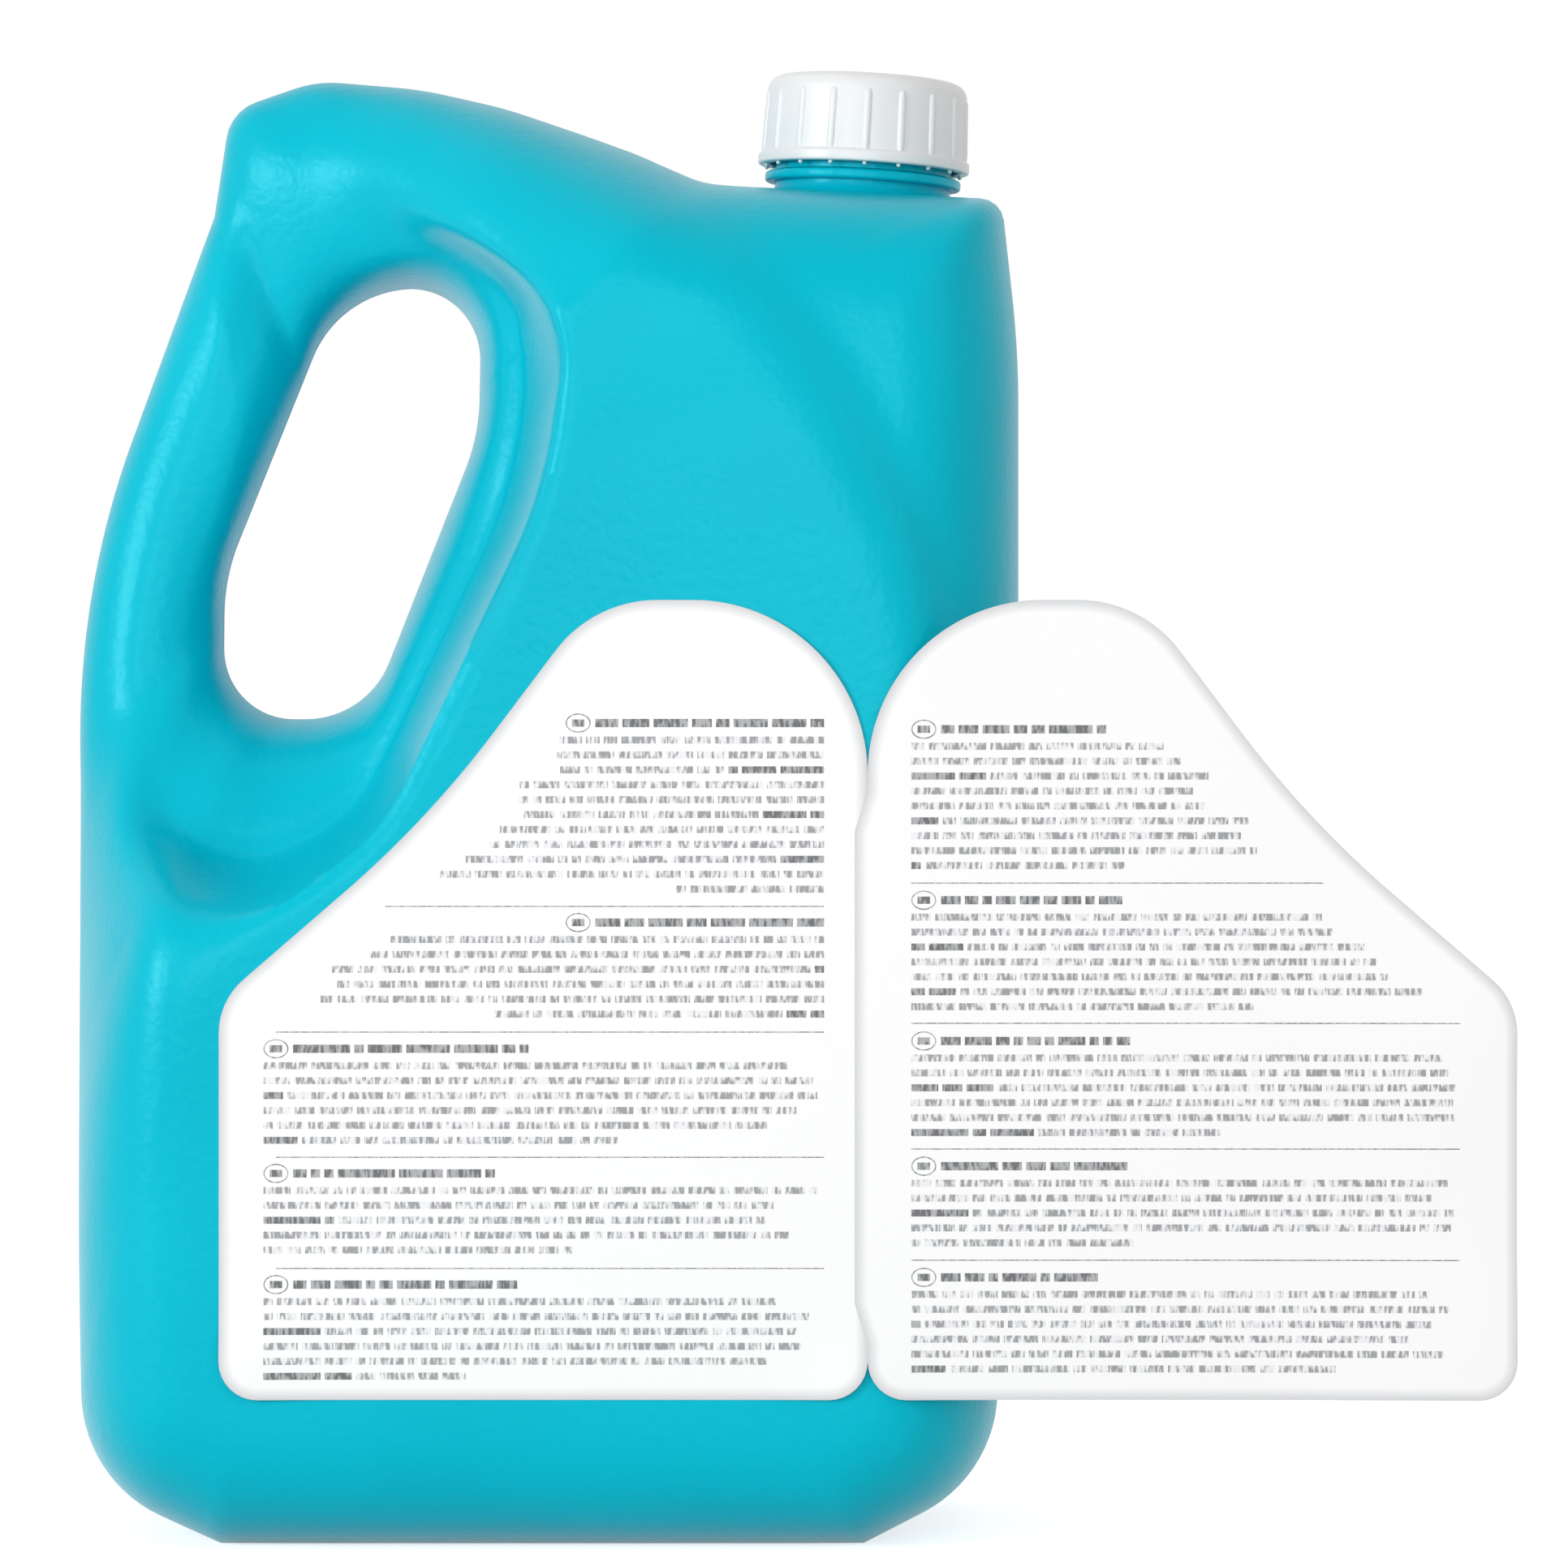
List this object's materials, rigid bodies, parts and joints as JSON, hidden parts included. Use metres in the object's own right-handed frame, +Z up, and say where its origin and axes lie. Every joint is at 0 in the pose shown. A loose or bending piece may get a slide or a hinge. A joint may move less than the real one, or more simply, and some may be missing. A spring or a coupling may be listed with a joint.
{
  "type": "household cleaner jug",
  "caption": "Blow-moulded jug with a through handle, a ribbed white screw cap and a two-page leaflet label that lies open on one side.",
  "frame": {"origin": "middle of the base, on the surface the jug stands on", "axes": "+X from the handle to the pour side, +Y from the labelled broad side to the plain one, +Z up"},
  "size_m": [0.2817, 0.1163, 0.2908],
  "materials": {
    "body_plastic": "satin blow-moulded polyethylene with a fine orange-peel skin",
    "cap_plastic": "smooth injection-moulded white polypropylene",
    "liner_foam": "closed-cell foam",
    "label_film": "white label film"
  },
  "bodies": {
    "container": {"jug": "body_plastic", "label_base": "label_film", "label_leaf": "label_film"},
    "seal": {"cap_liner": "liner_foam"},
    "closure": {"cap": "cap_plastic"}
  },
  "joints": [
    {"name": "cap_lift", "type": "slide", "parent": "container", "child": "seal", "axis": [0.0558, 0, 0.9984], "range_m": [0, 0.00635]},
    {"name": "cap_turn", "type": "hinge", "parent": "seal", "child": "closure", "pos_m": [0.0629, 0, 0.26553], "axis": [0.0558, 0, 0.9984], "range_deg": [0, 540]}
  ],
  "couplings": [
    {"joint": "cap_lift", "follows": "cap_turn", "m_per_rad": 0.0006737}
  ]
}
